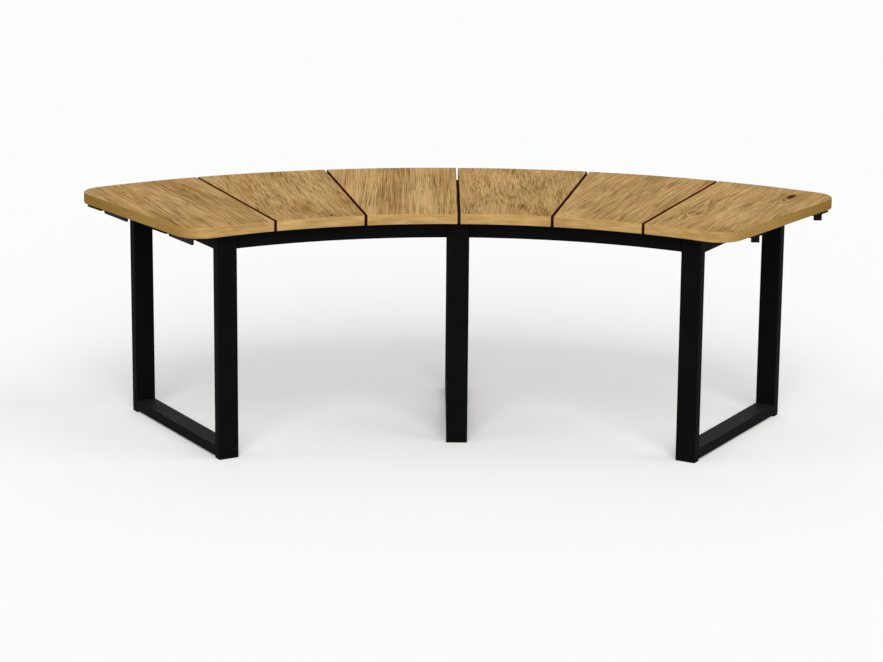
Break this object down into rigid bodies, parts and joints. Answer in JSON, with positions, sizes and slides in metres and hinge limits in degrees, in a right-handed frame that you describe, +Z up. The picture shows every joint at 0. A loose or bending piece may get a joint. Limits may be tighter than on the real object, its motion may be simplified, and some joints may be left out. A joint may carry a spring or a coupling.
{
  "type": "curved garden bench",
  "caption": "Arc-shaped garden bench module: wooden slabs in a curved row on a black steel tube frame with radial legs; modules placed end to end make a round bench.",
  "frame": {"origin": "centre of the bounding box in plan, on the floor under the foot pads", "axes": "+X along the bench's length, to the right as seen from the ring's centre; +Y away from the ring's centre, towards the long outer edge; +Z up"},
  "size_m": [1.4308, 0.5637, 0.45],
  "materials": {
    "oiled_hardwood": "satin oiled, grain along the radius",
    "black_powder_coat": "matt fine-textured powder coat",
    "foot_pad_black": "matt",
    "link_hardware_black": "matt powder coat on bent sheet steel"
  },
  "bodies": {
    "root": {"seat_slab_1": "oiled_hardwood", "seat_slab_2": "oiled_hardwood", "seat_slab_3": "oiled_hardwood", "seat_slab_4": "oiled_hardwood", "seat_slab_5": "oiled_hardwood", "seat_slab_6": "oiled_hardwood", "left_front_upright": "black_powder_coat", "left_rear_upright": "black_powder_coat", "left_bottom_bar": "black_powder_coat", "left_top_bar": "black_powder_coat", "centre_front_upright": "black_powder_coat", "centre_rear_upright": "black_powder_coat", "centre_bottom_bar": "black_powder_coat", "centre_top_bar": "black_powder_coat", "right_front_upright": "black_powder_coat", "right_rear_upright": "black_powder_coat", "right_bottom_bar": "black_powder_coat", "right_top_bar": "black_powder_coat", "left_front_pad": "foot_pad_black", "left_rear_pad": "foot_pad_black", "centre_front_pad": "foot_pad_black", "centre_rear_pad": "foot_pad_black", "right_front_pad": "foot_pad_black", "right_rear_pad": "foot_pad_black", "front_rail_left": "black_powder_coat", "front_rail_right": "black_powder_coat", "rear_rail_left": "black_powder_coat", "rear_rail_right": "black_powder_coat", "inner_strip_left_end": "black_powder_coat", "inner_strip_left": "black_powder_coat", "inner_strip_right": "black_powder_coat", "inner_strip_right_end": "black_powder_coat", "outer_strip_left_end": "black_powder_coat", "outer_strip_left": "black_powder_coat", "outer_strip_right": "black_powder_coat", "outer_strip_right_end": "black_powder_coat", "link_flange_inner": "link_hardware_black", "link_flange_outer": "link_hardware_black", "link_tab_inner": "link_hardware_black", "link_tab_outer": "link_hardware_black"}
  },
  "joints": []
}
